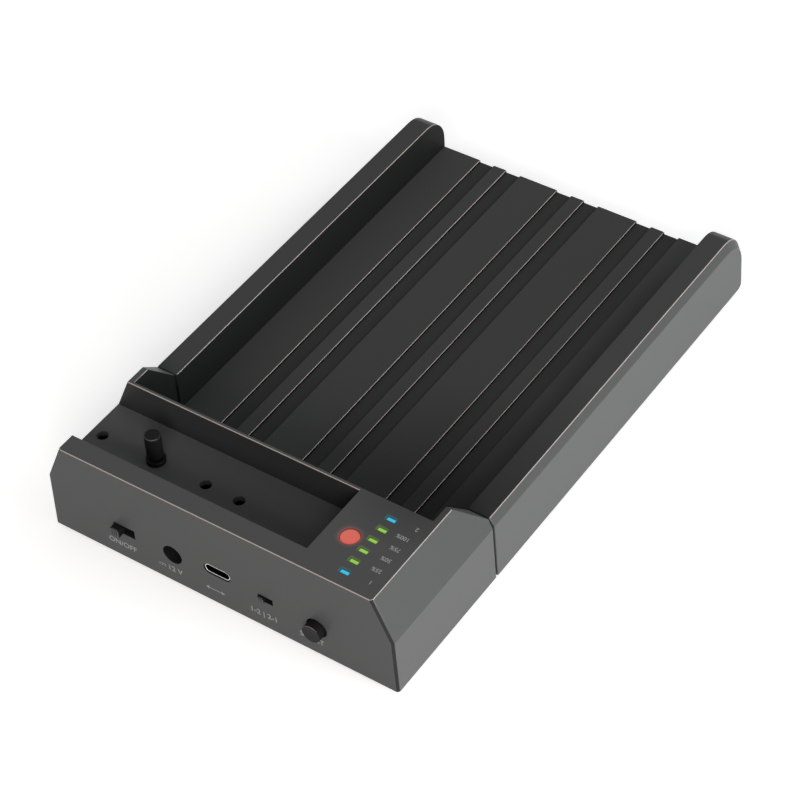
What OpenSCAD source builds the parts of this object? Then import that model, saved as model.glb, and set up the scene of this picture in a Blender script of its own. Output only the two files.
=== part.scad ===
// Docking station for one 3.5 inch drive and one SSD module.
// Build frame: x from the middle, y from the front face, z from the bottom edge of the shells.

/* [Body] */
// Length from the front face to the rear end of the tray
body_l = 195.7; // [180:0.1:215]
// Width at the bottom edge
base_w = 122.8; // [120:0.1:130]
// Width at the crease of the sides
crease_w = 121.5; // [118:0.1:128]
// Height of the crease
crease_h = 20.3; // [17:0.1:21]
// Width of the front housing's top face
front_top_w = 108.9; // [108.6:0.1:114]
// Height of the front housing
body_h = 34.7; // [32:0.1:42]
// Thickness of the moulded walls
wall = 2; // [1.6:0.1:2.4]
// Thickness of the sloped sides, measured across
side_wall = 2.2; // [1.8:0.1:2.6]
// Bevel of the front housing's upright front corners
corner_cut = 0.7; // [0.4:0.1:1.8]
// Depth of the front housing, from the front face to the seam
seam_y = 50.4; // [48:0.1:60]
// Width of the groove at the seam
seam_gap = 0.4; // [0.3:0.1:1.2]
// Bevel of the outer edges at the seam
seam_cut = 0.3; // [0.2:0.1:1]

/* [Drive tray] */
// Clear width between the rails
bay_w = 103.8; // [102.4:0.1:104.6]
// Height of the rails
rail_h = 23.3; // [22:0.1:27]
// Step from the rail's inner face out to the housing's wing
wing_step = 0.55; // [0.4:0.05:0.8]
// Height of the deck the drive lies on
deck_h = 9.3; // [8:0.1:10.2]
// Thickness of the deck
deck_t = 3; // [2.6:0.1:3.6]
// Distance between two ribs of the deck
rib_pitch = 30; // [26:0.5:32]
// Width of a rib
rib_w = 5; // [3:0.1:7]
// Width of the groove on each side of a rib
groove_w = 5.25; // [3:0.05:6]
// Depth of the grooves
groove_depth = 0.8; // [0.5:0.1:1.5]
// Radius of the rails' upper rear end
nose_r = 10; // [6:0.5:12]
// Radius of the lower rear edge
heel_r = 3; // [2:0.5:4]
// Bevel of the tray's outer rear edges
rear_cut = 1; // [0.4:0.1:1.6]

/* [SSD channel] */
// Distance from the front face to the channel
channel_y = 6.6; // [5.2:0.1:8]
// Width of the channel, front to back
channel_w = 25.4; // [25:0.1:28]
// Height of the channel floor
channel_h = 23; // [22:0.1:25]
// Thickness of the channel floor
channel_t = 2; // [1.6:0.1:2.4]
// Where the channel ends at the top panel
channel_end = 28.4; // [27.4:0.1:29.4]
// Thickness of the ridge behind the channel
ridge_t = 1.1; // [0.8:0.1:1.6]
// Distance from the ridge's rear face to the top of the ramp
ramp_start = 6.3; // [4:0.1:8]

/* [SSD peg] */
// Place of the hole for the longest module
peg_far_x = -55.4; // [-56:0.1:-54]
// Diameter of the peg holes
peg_hole_d = 3.6; // [3.2:0.1:4]
// Clearance of the peg in its hole, on the radius
peg_fit = 0.15; // [0.1:0.05:0.3]
// Diameter of the peg's head
peg_head_d = 5.1; // [4.8:0.1:6.2]
// Diameter of the peg's flange
peg_flange_d = 6; // [5.6:0.1:7.4]
// Diameter of the neck that holds the module
peg_neck_d = 3.2; // [2.6:0.1:3.6]
// Height of the peg above the channel floor
peg_h = 11; // [8:0.1:12]

/* [Front ports] */
// Place of the power switch
power_x = -33.7; // [-36:0.1:-31]
// Width of the power switch opening
power_open_w = 7.5; // [6.6:0.1:8]
// Height of the power switch opening
power_open_h = 3.3; // [2.8:0.1:3.6]
// Width of the power knob
power_knob_w = 3.1; // [2.6:0.1:3.6]
// How far the power knob stands out
power_proud = 2.3; // [1.5:0.1:3]
// Place of the DC jack
jack_x = -16.2; // [-18:0.1:-15]
// Diameter of the DC jack's bore
jack_bore_d = 6.3; // [5.6:0.1:6.4]
// Place of the USB-C receptacle
usb_x = 0; // [-3:0.1:3]
// Outer width of the USB-C shell
usb_w = 8.94; // [8.6:0.02:9.2]
// Outer height of the USB-C shell
usb_h = 3.26; // [3:0.02:3.4]
// Gap between the USB-C shell and the housing
usb_gap = 0.25; // [0.15:0.05:0.4]
// Place of the direction switch
direction_x = 16.8; // [15:0.1:19]
// Width of the direction switch opening
direction_open_w = 5; // [4.6:0.1:5.4]
// Height of the direction switch opening
direction_open_h = 2.2; // [2:0.1:2.6]
// Width of the direction knob
direction_knob_w = 2.2; // [1.8:0.1:2.5]
// How far the direction knob stands out
direction_proud = 1; // [0.6:0.1:1.6]
// Gap at each end of a slide knob's travel
knob_gap = 0.3; // [0.2:0.05:0.4]
// Place of the clone button
clone_x = 34.3; // [32:0.1:36]
// Diameter of the clone button
clone_d = 6.1; // [5.4:0.1:6.8]
// Gap around the clone button
clone_gap = 0.35; // [0.25:0.05:0.5]
// How far the clone button stands out
clone_proud = 2.8; // [2:0.1:3.5]
// Travel of the clone button
clone_travel = 1.2; // [0.6:0.1:1.4]

/* [Indicators] */
// Place of the round lens, from the middle
lens_x = 36; // [35.6:0.1:37]
// Place of the round lens, from the front face
lens_y = 16.4; // [14:0.1:18]
// Diameter of the round lens
lens_d = 5.7; // [5:0.1:6.4]
// Place of the row of windows
window_x = 42.1; // [42:0.1:43.2]
// Distance from the front face to the first window
window_y = 5.15; // [4.9:0.05:5.4]
// Distance between two windows
window_pitch = 4.5; // [4.2:0.1:4.6]
// Length of a window
window_l = 2.85; // [2.6:0.05:3.6]
// Width of a window
window_w = 1.35; // [1.1:0.05:1.8]
// How far the round lens lies below the panel
lens_sunk = 0.3; // [0.1:0.1:0.6]
// How far the windows lie below the panel
window_sunk = 0.7; // [0.2:0.1:0.9]
// Gap between a lens and its hole
lens_gap = 0.15; // [0.1:0.05:0.3]

/* [Boards] */
// Length of the main board
board_l = 102; // [98:0.5:103]
// Thickness of the main board
board_t = 1.6; // [1.2:0.1:2]
// Space between the channel floor and the main board
board_drop = 4; // [3.4:0.1:4.4]
// Gap between the main board and the walls
board_gap = 0.9; // [0.5:0.1:1.2]
// Thickness of the indicator board
led_board_t = 1; // [0.8:0.1:1.6]
// Width of the M.2 socket
m2_w = 22.8; // [22.6:0.1:23.2]
// Offset of the SATA receptacle from the middle
sata_x = -14; // [-18:0.5:-8]
// Width of the SATA receptacle
sata_w = 43; // [41:0.5:46]

/* [Base] */
// Thickness of the base cover
cover_t = 2; // [1.8:0.1:2.4]
// Gap between the base cover and the skirts
cover_gap = 0.25; // [0.15:0.05:0.4]
// Diameter of the rubber feet
foot_d = 12; // [8:0.5:14]
// How far the feet stand out below the shells
foot_proud = 1.2; // [0.8:0.1:2]
// Depth of the recess that holds a foot
foot_sunk = 0.8; // [0.4:0.1:1]
// Distance of the feet from the front face and from the rear end
foot_in = 17; // [16:0.5:20]
// Distance of the feet from the side edges
foot_side = 14; // [13:0.5:18]

/* [Hidden] */
$fn = 48;

// A cut runs this far past the face it opens
over = 1;

// Depth of the part in y, with what stands out in front
front_reach = max(clone_proud, power_proud, direction_proud);
mid_y = (body_l - front_reach) / 2;

// Half width of the shells' outer side at a height
function side_x(z) = z <= crease_h
    ? base_w / 2 + (crease_w - base_w) / 2 * z / crease_h
    : crease_w / 2 + (front_top_w - crease_w) / 2 * (z - crease_h) / (body_h - crease_h);
// Half width inside the sides, upright below the crease
inner_side = min(base_w, crease_w) / 2 - side_wall;
function inner_x(z) = z <= crease_h ? inner_side : side_x(z) - side_wall;

// Seam, ridge and wings
seam_front = seam_y - seam_gap / 2;
seam_back = seam_y + seam_gap / 2;
channel_back = channel_y + channel_w;
ridge_back = channel_back + ridge_t;
bulkhead_y = ridge_back - wall;
wing_in = bay_w / 2 + wing_step;
ramp_y = ridge_back + ramp_start;
panel_z = body_h - wall;
channel_under = channel_h - channel_t;
channel_wall = channel_end + wall;

// Drive tray
deck_z = deck_h - deck_t;
fit_gap = 0.3;
rear_skin = 1;
rear_wall = heel_r + rear_skin;
rib_steps = [-1, 0, 1];
nose_fn = 64;
tray_back = body_l - rear_wall;
// The rails' outer top edges lie this far inside the housing's slope
rail_in = 0.25;
rail_x = side_x(rail_h) - rail_in;
flank_t = 0.5;

// Main board, hung from the channel floor
board_top = channel_under - board_drop;
board_bottom = board_top - board_t;
board_y0 = wall + board_gap;
board_y1 = bulkhead_y - board_gap;

// Screws: pilot holes, shanks and heads
case_pilot_d = 2;
case_shank_d = 1.9;
case_head_d = 4.6;
case_head_t = 1.3;
head_sunk = 0.2;
case_hole_d = 2.6;
case_boss_d = 5.6;
case_bite = 4.6;
tip_gap = 0.4;
case_boss_in = 10.3;
case_boss_x = inner_side - case_boss_in;
boss_sunk = 0.6;
boss_cap = 1;
case_screw_in = 4.2;
case_boss_y = [wall + case_screw_in, bulkhead_y + boss_sunk - case_boss_d / 2];
case_boss_top = cover_t + case_bite + tip_gap + boss_cap;
tray_screw_x = rib_pitch / 2;
tray_screw_in = 11;
tray_screw_y = [seam_back + tray_screw_in, (seam_back + tray_back) / 2, tray_back - tray_screw_in];
board_pilot_d = 1.6;
board_shank_d = 1.5;
board_hole_d = 2.2;
board_head_d = 3.6;
board_head_t = 1.2;
board_boss_d = 4.4;
board_bite = 3;
board_screw_in = 3;
board_screw_x = board_l / 2 - board_screw_in;
board_screw_y = [board_y0 + board_screw_in, board_y1 - board_screw_in];
board_boss_top = board_top + board_bite + tip_gap + boss_cap;
boss_web = 1.6;
// Cross recess of a screw, as shares of its head
cross_l = 0.6;
cross_w = 0.16;

// Indicator board, hung from the top panel
lens_flange = 0.8;
lens_lip = 0.6;
led_h = 0.9;
led_gap = 0.3;
round_led = [3.2, 2.8];
window_led = [1.6, 0.8];
led_board_top = panel_z - lens_flange - led_gap - led_h;
led_board_bottom = led_board_top - led_board_t;
led_board_side = 2;
led_board_edge = 1.6;
led_board_x0 = channel_wall + led_board_side;
led_board_x1 = window_x + window_l / 2 + led_board_edge;
led_boss_d = 3.6;
led_bite = panel_z - led_board_top;
led_screw_x = lens_x;
led_screw_in = 3.4;
led_screw_y = [board_y0 + led_screw_in, board_y1 - led_screw_in];
window_ys = [for (i = [0:5]) window_y + i * window_pitch];

// Pin header between the two boards
header_x = lens_x;
header_behind = 6;
header_y = lens_y + header_behind;
header_pitch = 2.54;
header_count = [2, 3];
header_pin = 0.64;
header_block = 2.5;
header_stub = 1;

// Front ports, hung from the main board
usb_z = board_bottom - usb_h / 2;
jack_roof = 0.5;
jack_z = board_bottom - jack_roof - jack_bore_d / 2;
switch_depth = 5;
switch_rim = 1.75;
power_z = board_bottom - switch_rim - power_open_h / 2;
direction_rim = 2;
direction_z = board_bottom - direction_rim - direction_open_h / 2;
clone_rise = 4.4;
clone_z = board_bottom - clone_rise;
clone_hole_d = clone_d + 2 * clone_gap;
back_gap = 0.2;
port_y = wall + back_gap;

// Slide switches: the knob rests at the left end of its opening
power_travel = power_open_w - power_knob_w - 2 * knob_gap;
power_rest = power_x - power_travel / 2;
direction_travel = direction_open_w - direction_knob_w - 2 * knob_gap;
direction_rest = direction_x - direction_travel / 2;
knob_fit = 0.3;
stem_bite = 2;
power_grooves = 3;
direction_grooves = 2;
switch_side = 2.4;

// Push switch behind the clone button
clone_lip = 0.8;
clone_flange_d = clone_hole_d + 2 * clone_lip;
clone_flange_t = 0.8;
clone_back = port_y + clone_flange_t;
plunger_d = 3.2;
plunger_fit = 0.25;
plunger_bite = 1;
clone_clear = 0.5;
clone_body_y = clone_back + clone_travel + clone_clear;
clone_body_l = 5;
clone_body_w = 7;

// DC jack
jack_w = 9;
jack_l = 12;
jack_deep = 9.5;
jack_pin_d = 2;
jack_pin_sunk = 4;
jack_hole_d = jack_bore_d + fit_gap;
jack_floor = 1.5;
spring_w = 2;
spring_t = 0.4;
spring_l = 6;
spring_fit = 0.05;
spring_z = jack_z - jack_bore_d / 2 - spring_t;

// USB-C receptacle
usb_sunk = 0.3;
usb_l = 7.4;
usb_skin = 0.3;
usb_fit = 0.06;
tongue_w = 6.7;
tongue_t = 0.7;
tongue_sunk = 1.2;
usb_block_l = 1.6;
usb_pin_count = 12;
usb_pin_pitch = 0.5;
usb_pin_w = 0.25;
usb_pin_t = 0.08;
usb_pin_l = 3;

// M.2 socket: the mouth lies under the panel's edge
m2_under = 4.6;
m2_x = channel_end - m2_under;
m2_y = channel_y + channel_w / 2;
m2_l = 8.4;
m2_rise = 3.3;
m2_top = channel_h + m2_rise;
m2_slot_w = 22.1;
m2_slot_h = 1.4;
m2_slot_deep = 4;
m2_roof = 0.7;
m2_gap = 0.3;
m2_key_at = 6.1;
m2_key_w = 1;
m2_pin_pitch = 0.5;
m2_pin_w = 0.22;
m2_pin_t = 0.15;
m2_slot_z = m2_top - m2_roof - m2_slot_h;

// SATA receptacle: the slot lies at the height of a drive's plug above the deck
sata_rise = 3.5;
sata_z = deck_h + sata_rise;
sata_under = 2.4;
sata_reach = 6.8;
sata_in = 6;
sata_gap = 0.3;
sata_slot_h = 2.4;
sata_slot_deep = 6;
sata_pitch = 1.27;
sata_slot_ws = [10.6, 20.9];
sata_bridge = 2;
sata_key = 1.1;
sata_pin_counts = [7, 15];
sata_pin_w = 0.6;
sata_pin_t = 0.3;
sata_slots_w = sata_slot_ws[0] + sata_bridge + sata_slot_ws[1];
sata_slot_xs = [sata_x - sata_slots_w / 2, sata_x + sata_slots_w / 2 - sata_slot_ws[1]];

// Peg: the holes lie at the standard lengths of the modules
peg_y = m2_y;
module_lengths = [80, 60, 42, 30];
peg_xs = [for (l = module_lengths) peg_far_x + module_lengths[0] - l];
peg_x = peg_xs[1];
peg_flange_t = 1.6;
peg_neck_h = 1;
peg_round = 0.6;
peg_past = 1;
peg_stem = channel_t + peg_past;

// Chips and supply parts of the main board
chip_y = (board_y0 + board_y1) / 2;
chip_h = 1;
bridge_w = 10;
bridge_xs = [-26, 4];
flash_x = -11;
flash_size = [5, 6, chip_h];
supply_xs = [-36, 14];
regulator_y = chip_y - 3;
regulator_size = [4, 5, chip_h];
inductor_y = chip_y + 5;
inductor_size = [5, 5, 2.8];
capacitor_x = 42;
capacitor_y = chip_y + 2;
capacitor_d = 6.3;
capacitor_h = 7;
crystal_x = -18;
crystal_size = [3.2, 2.5, 0.8];

// Base cover and feet
cover_y0 = wall + cover_gap;
cover_y1 = tray_back - cover_gap;
cover_w = 2 * (inner_side - cover_gap);
foot_x = base_w / 2 - foot_side;
foot_ys = [foot_in, body_l - foot_in];

// Colours
shell_grey = "#424342";
black = "#191a1a";
board_green = "#1d5a36";
steel = "#b9bcc0";
gold = "#cfa64a";

// Turns the build frame into the part's frame
module place() translate([0, -mid_y, foot_proud]) children();
// Extrudes an outline in x and z from y0 to y1
module along_y(y0, y1) translate([0, y1, 0]) rotate([90, 0, 0]) linear_extrude(y1 - y0) children();
// Extrudes an outline in y and z from x0 to x1
module along_x(x0, x1) translate([x0, 0, 0]) rotate([90, 0, 90]) linear_extrude(x1 - x0) children();
// A box between two corners
module block(low, high) translate(low) cube(high - low);
// A round pin along +y
module pin_y(d, x, z, y0, y1) translate([x, y1, z]) rotate([90, 0, 0]) cylinder(d = d, h = y1 - y0);
// A round pin along +z
module pin_z(d, x, y, z0, z1) translate([x, y, z0]) cylinder(d = d, h = z1 - z0);
// A slot outline with round ends
module stadium(w, h) {
    square([w - h, h], center = true);
    for (side = [-1, 1]) translate([side * (w - h) / 2, 0]) circle(d = h);
}
// Copies on the left and on the right
module both_sides() {
    children();
    mirror([1, 0, 0]) children();
}

// Outer outline of the front housing, drawn in at the sides
module front_outline(inset = 0) {
    half = [[base_w / 2, 0], [crease_w / 2, crease_h], [front_top_w / 2, body_h]];
    right = [for (p = half) [p[0] - inset, p[1]]];
    left = [for (i = [2:-1:0]) [-right[i][0], right[i][1]]];
    polygon(concat(right, left));
}
module front_block() hull() {
    along_y(0, corner_cut) front_outline(corner_cut);
    along_y(corner_cut, seam_front - seam_cut) front_outline();
    along_y(seam_front - seam_cut, seam_front) front_outline(seam_cut);
}
// Space inside the front housing, around the channel
module front_hollow() difference() {
    along_y(wall, bulkhead_y) {
        half = [[inner_side, -over], [inner_side, crease_h], [inner_x(panel_z), panel_z]];
        polygon(concat(half, [for (i = [2:-1:0]) [-half[i][0], half[i][1]]]));
    }
    block([-base_w, channel_y - wall, channel_under], [channel_wall, body_l, body_h]);
}
// Space inside the right wing, between its inner and its outer wall
module wing_hollow() along_y(ridge_back, seam_front + over) polygon([
    [wing_in + wall, -over], [inner_side, -over], [inner_side, crease_h],
    [inner_x(rail_h - wall), rail_h - wall], [wing_in + wall, rail_h - wall]]);
// What the ramps take off the wings
module ramp_cut() along_x(-base_w, base_w) polygon([
    [ramp_y, body_h + over], [ramp_y, body_h], [seam_front, rail_h], [seam_front + over, rail_h],
    [seam_front + over, body_h + over]]);
module channel_space() {
    block([-base_w, channel_y, channel_h], [channel_end, channel_back, body_h + over]);
    for (x = peg_xs) pin_z(peg_hole_d, x, peg_y, channel_under - over, channel_h + over);
    block([m2_x - m2_gap, m2_y - m2_w / 2 - m2_gap, channel_under - over],
        [m2_x + m2_l + m2_gap, m2_y + m2_w / 2 + m2_gap, m2_top + m2_gap]);
}
// Space behind the ridge, between the wings
module bay_space() block([-wing_in, ridge_back, -over], [wing_in, body_l, body_h + over]);
// Bosses of the base cover: the rear ones stand at the bulkhead, the front ones on webs to the front wall
module case_bosses() both_sides() {
    for (y = case_boss_y) pin_z(case_boss_d, case_boss_x, y, cover_t, case_boss_top);
    block([case_boss_x - boss_web / 2, wall - boss_sunk, cover_t],
        [case_boss_x + boss_web / 2, case_boss_y[0], case_boss_top]);
}
module case_pilots() both_sides() for (y = case_boss_y)
    pin_z(case_pilot_d, case_boss_x, y, cover_t - over, cover_t + case_bite + tip_gap);
// Bosses of the main board, each on a web that runs to the nearest wall
module board_bosses() both_sides() {
    for (y = board_screw_y) pin_z(board_boss_d, board_screw_x, y, board_top, board_boss_top);
    board_web(wall - boss_sunk, board_screw_y[0]);
    board_web(board_screw_y[1], bulkhead_y + boss_sunk);
}
module board_web(y0, y1) block([board_screw_x - boss_web / 2, y0, board_top],
    [board_screw_x + boss_web / 2, y1, board_boss_top]);
module board_pilots() both_sides() for (y = board_screw_y)
    pin_z(board_pilot_d, board_screw_x, y, board_top - over, board_top + board_bite + tip_gap);
module led_bosses() for (y = led_screw_y)
    pin_z(led_boss_d, led_screw_x, y, led_board_top, panel_z + wall / 2);
module led_pilots() for (y = led_screw_y)
    pin_z(board_pilot_d, led_screw_x, y, led_board_top - over, led_board_top + led_bite + tip_gap);
module port_holes() {
    along_y(-over, wall + over) {
        translate([power_x, power_z]) square([power_open_w, power_open_h], center = true);
        translate([direction_x, direction_z]) square([direction_open_w, direction_open_h], center = true);
        translate([usb_x, usb_z]) stadium(usb_w + 2 * usb_gap, usb_h + 2 * usb_gap);
    }
    pin_y(jack_hole_d, jack_x, jack_z, -over, wall + over);
    pin_y(clone_hole_d, clone_x, clone_z, -over, wall + over);
}
module lens_holes() {
    pin_z(lens_d + 2 * lens_gap, lens_x, lens_y, panel_z - over, body_h + over);
    for (y = window_ys) translate([window_x, y, panel_z - over]) linear_extrude(wall + 2 * over)
        square([window_l + 2 * lens_gap, window_w + 2 * lens_gap], center = true);
}
module sata_window() block(
    [sata_x - sata_w / 2 - sata_gap, bulkhead_y - over, sata_z - sata_under - sata_gap],
    [sata_x + sata_w / 2 + sata_gap, ridge_back + over, board_bottom + sata_gap]);
// Space of the base cover, inside the skirts
module cover_space() block([-inner_side, wall, -over], [inner_side, body_l, cover_t]);
module front_housing() color(shell_grey) place() difference() {
    union() {
        difference() {
            front_block();
            front_hollow();
        }
        case_bosses();
        board_bosses();
        led_bosses();
    }
    channel_space();
    bay_space();
    both_sides() wing_hollow();
    ramp_cut();
    case_pilots();
    board_pilots();
    led_pilots();
    port_holes();
    lens_holes();
    sata_window();
    cover_space();
}

// Grooves of the deck, one on each side of a rib
module groove_outlines() for (i = rib_steps, side = [-1, 1])
    translate([i * rib_pitch + side * (rib_w + groove_w) / 2, deck_h - groove_depth / 2 + over / 2])
        square([groove_w, groove_depth + over], center = true);
// Space of the drive, between the rails and above the deck
module drive_space() along_y(seam_back - over, body_l + over) {
    translate([-bay_w / 2, deck_h]) square([bay_w, rail_h]);
    groove_outlines();
}
// Side view of the tray, with its two round rear corners
module tray_side(y0, y1, top, upper_r, lower_r) difference() {
    translate([y0, 0]) square([y1 - y0, top]);
    translate([y1 - upper_r, top - upper_r]) corner_waste(upper_r);
    translate([y1 - lower_r, lower_r]) mirror([0, 1]) corner_waste(lower_r);
}
// Outer block of the tray: bevelled from the rails to the crease, and at the seam and the rear end
module tray_block() hull() {
    along_x(-rail_x, rail_x) tray_side(seam_back, body_l, rail_h, nose_r, heel_r, $fn = nose_fn);
    both_sides()
        multmatrix([[1, 0, (crease_w - base_w) / 2 / crease_h, base_w / 2], [0, 1, 0, 0], [0, 0, 1, 0]])
            along_x(-flank_t, 0) tray_side(seam_back + seam_cut, body_l - rear_cut, crease_h,
                nose_r - rear_cut, heel_r - rear_cut, $fn = nose_fn);
}
module deck_hollow() along_y(seam_back - over, tray_back)
    translate([-inner_side, -over]) square([2 * inner_side, deck_z + over]);
module rail_hollow() along_y(seam_back - over, body_l - nose_r) polygon([
    [bay_w / 2 + wall, deck_z - over], [inner_side, deck_z - over], [inner_side, crease_h],
    [inner_x(rail_h - wall), rail_h - wall], [bay_w / 2 + wall, rail_h - wall]]);
// Square corner less its quarter circle
module corner_waste(r) difference() {
    square(r + over);
    circle(r);
}
module tray_bosses() both_sides() for (y = tray_screw_y)
    pin_z(case_boss_d, tray_screw_x, y, cover_t, deck_z + over);
module tray_pilots() both_sides() for (y = tray_screw_y)
    pin_z(case_pilot_d, tray_screw_x, y, cover_t - over, cover_t + case_bite + tip_gap);
// Deck's front end, between the wings and under the ridge
module deck_tongue() along_y(ridge_back + fit_gap, seam_back + over) difference() {
    translate([fit_gap - wing_in, deck_z]) square([2 * (wing_in - fit_gap), deck_t]);
    groove_outlines();
}
module rear_tray() color(shell_grey) place() difference() {
    union() {
        difference() {
            tray_block();
            drive_space();
            deck_hollow();
            both_sides() rail_hollow();
        }
        deck_tongue();
        tray_bosses();
    }
    tray_pilots();
}

module cover_screw_places() both_sides() {
    for (y = case_boss_y) translate([case_boss_x, y, 0]) children();
    for (y = tray_screw_y) translate([tray_screw_x, y, 0]) children();
}
module base_cover() color("#333433") place() difference() {
    block([-cover_w / 2, cover_y0, 0], [cover_w / 2, cover_y1, cover_t]);
    cover_screw_places() {
        pin_z(case_hole_d, 0, 0, -over, cover_t + over);
        pin_z(case_head_d + 2 * fit_gap, 0, 0, -over, case_head_t);
    }
    both_sides() for (y = foot_ys) pin_z(foot_d, foot_x, y, -over, foot_sunk);
}
module rubber_feet() color(black) place() both_sides() for (y = foot_ys)
    pin_z(foot_d - 2 * fit_gap, foot_x, y, -foot_proud, foot_sunk);
// Pan-head screw that points up, with its head's seat at z = 0
module screw(head_d, head_t, shank_d, shank_l) difference() {
    union() {
        translate([0, 0, -head_t]) cylinder(d = head_d, h = head_t);
        cylinder(d = shank_d, h = shank_l);
    }
    for (turn = [0, 90]) rotate(turn) translate([0, 0, -head_t])
        cube([head_d * cross_l, head_d * cross_w, head_t], center = true);
}
module case_screw() translate([0, 0, case_head_t])
    screw(case_head_d, case_head_t - head_sunk, case_shank_d, cover_t - case_head_t + case_bite);
module front_screws() color(steel) place() both_sides() for (y = case_boss_y)
    translate([case_boss_x, y, 0]) case_screw();
module tray_screws() color(steel) place() both_sides() for (y = tray_screw_y)
    translate([tray_screw_x, y, 0]) case_screw();

module main_board() color(board_green) place() difference() {
    block([-board_l / 2, board_y0, board_bottom], [board_l / 2, board_y1, board_top]);
    both_sides() for (y = board_screw_y)
        pin_z(board_hole_d, board_screw_x, y, board_bottom - over, board_top + over);
}
module board_screws() color(steel) place() both_sides() for (y = board_screw_y)
    translate([board_screw_x, y, board_bottom])
        screw(board_head_d, board_head_t, board_shank_d, board_t + board_bite);
module led_board() color(board_green) place() difference() {
    block([led_board_x0, board_y0, led_board_bottom], [led_board_x1, board_y1, led_board_top]);
    for (y = led_screw_y) pin_z(board_hole_d, led_screw_x, y, led_board_bottom - over, led_board_top + over);
    header_grid() pin_hole(led_board_bottom, led_board_top);
}
module led_board_screws() color(steel) place() for (y = led_screw_y)
    translate([led_screw_x, y, led_board_bottom])
        screw(board_head_d, board_head_t, board_shank_d, led_board_t + led_bite);
module header_grid() for (i = [0:header_count[0] - 1], j = [0:header_count[1] - 1])
    translate([header_x + (i - (header_count[0] - 1) / 2) * header_pitch,
        header_y + (j - (header_count[1] - 1) / 2) * header_pitch, 0]) children();
module pin_hole(z0, z1) translate([0, 0, (z0 + z1) / 2])
    cube([header_pin + fit_gap, header_pin + fit_gap, z1 - z0 + 2 * over], center = true);
module board_header() color(black) place() difference() {
    translate([header_x, header_y, board_top]) linear_extrude(header_block)
        square([header_count[0] * header_pitch, header_count[1] * header_pitch], center = true);
    header_grid() pin_hole(board_top, board_top + header_block);
}
module header_pins() color(gold) place() header_grid() translate([0, 0, board_top])
    linear_extrude(led_board_top + header_stub - board_top) square(header_pin, center = true);
module status_leds() color("#e8e4c8") place() {
    translate([lens_x, lens_y, led_board_top]) linear_extrude(led_h) square(round_led, center = true);
    for (y = window_ys) translate([window_x, y, led_board_top]) linear_extrude(led_h)
        square(window_led, center = true);
}

// Lens plug with the flange that seats under the panel
module window_lens(y) {
    translate([window_x, y, panel_z]) linear_extrude(wall - window_sunk)
        square([window_l, window_w], center = true);
    translate([window_x, y, panel_z - lens_flange]) linear_extrude(lens_flange)
        square([window_l + 2 * lens_lip, window_w + 2 * lens_lip], center = true);
}
module power_lens() color("#d9695c") place() {
    pin_z(lens_d, lens_x, lens_y, panel_z, body_h - lens_sunk);
    pin_z(lens_d + 2 * lens_lip, lens_x, lens_y, panel_z - lens_flange, panel_z);
}
module ssd_lens() color("#3fb3d6") place() window_lens(window_ys[0]);
module progress_lenses() color("#9bcb5a") place() for (i = [1:4]) window_lens(window_ys[i]);
module hdd_lens() color("#3fb3d6") place() window_lens(window_ys[5]);

// Body of a slide switch, with the slot its knob's stem runs in
module switch_body(x, z, open_w, open_h) difference() {
    block([x - open_w / 2 - switch_side, port_y, z - open_h / 2 - switch_rim],
        [x + open_w / 2 + switch_side, port_y + switch_depth, board_bottom]);
    block([x - open_w / 2, port_y - over, z - open_h / 2],
        [x + open_w / 2, port_y + stem_bite + fit_gap, z + open_h / 2]);
}
// Knob of a slide switch, grooved across its face
module switch_knob(x, z, w, h, proud, grooves) difference() {
    block([x - w / 2, -proud, z - h / 2], [x + w / 2, port_y + stem_bite, z + h / 2]);
    for (i = [1:grooves]) translate([x - w / 2 + w * i / (grooves + 1), -proud, z])
        cube([w / (grooves + 1) / 2, w / (grooves + 1), h + over], center = true);
}
module power_switch_body() color(steel) place() switch_body(power_x, power_z, power_open_w, power_open_h);
module power_switch_knob() color(black) place()
    switch_knob(power_rest, power_z, power_knob_w, power_open_h - 2 * knob_fit, power_proud,
        power_grooves);
module direction_switch_body() color(steel) place()
    switch_body(direction_x, direction_z, direction_open_w, direction_open_h);
module direction_switch_knob() color(black) place() switch_knob(direction_rest, direction_z,
    direction_knob_w, direction_open_h - 2 * knob_fit, direction_proud, direction_grooves);
module clone_button() color(black) place() {
    pin_y(clone_d, clone_x, clone_z, -clone_proud, port_y);
    pin_y(clone_flange_d, clone_x, clone_z, port_y, clone_back);
}
module clone_plunger() color("#5b5d60") place()
    pin_y(plunger_d, clone_x, clone_z, clone_back, clone_body_y + plunger_bite);
module clone_switch_body() color(black) place() difference() {
    block([clone_x - clone_body_w / 2, clone_body_y, clone_z - clone_body_w / 2],
        [clone_x + clone_body_w / 2, clone_body_y + clone_body_l, board_bottom]);
    pin_y(plunger_d + 2 * plunger_fit, clone_x, clone_z, clone_body_y - over,
        clone_body_y + plunger_bite + clone_travel + fit_gap);
}

module dc_jack_body() color(black) place() difference() {
    block([jack_x - jack_w / 2, port_y, spring_z - jack_floor],
        [jack_x + jack_w / 2, port_y + jack_l, board_bottom]);
    pin_y(jack_bore_d, jack_x, jack_z, port_y - over, port_y + jack_deep);
    block([jack_x - spring_w / 2 - spring_fit, port_y + jack_deep - spring_l - fit_gap, spring_z],
        [jack_x + spring_w / 2 + spring_fit, port_y + jack_deep, jack_z]);
}
module dc_jack_pin() color(steel) place()
    pin_y(jack_pin_d, jack_x, jack_z, jack_pin_sunk, port_y + jack_deep);
module dc_jack_spring() color(steel) place()
    translate([jack_x - spring_w / 2, port_y + jack_deep - spring_l, spring_z])
        cube([spring_w, spring_l, spring_t]);

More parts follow.
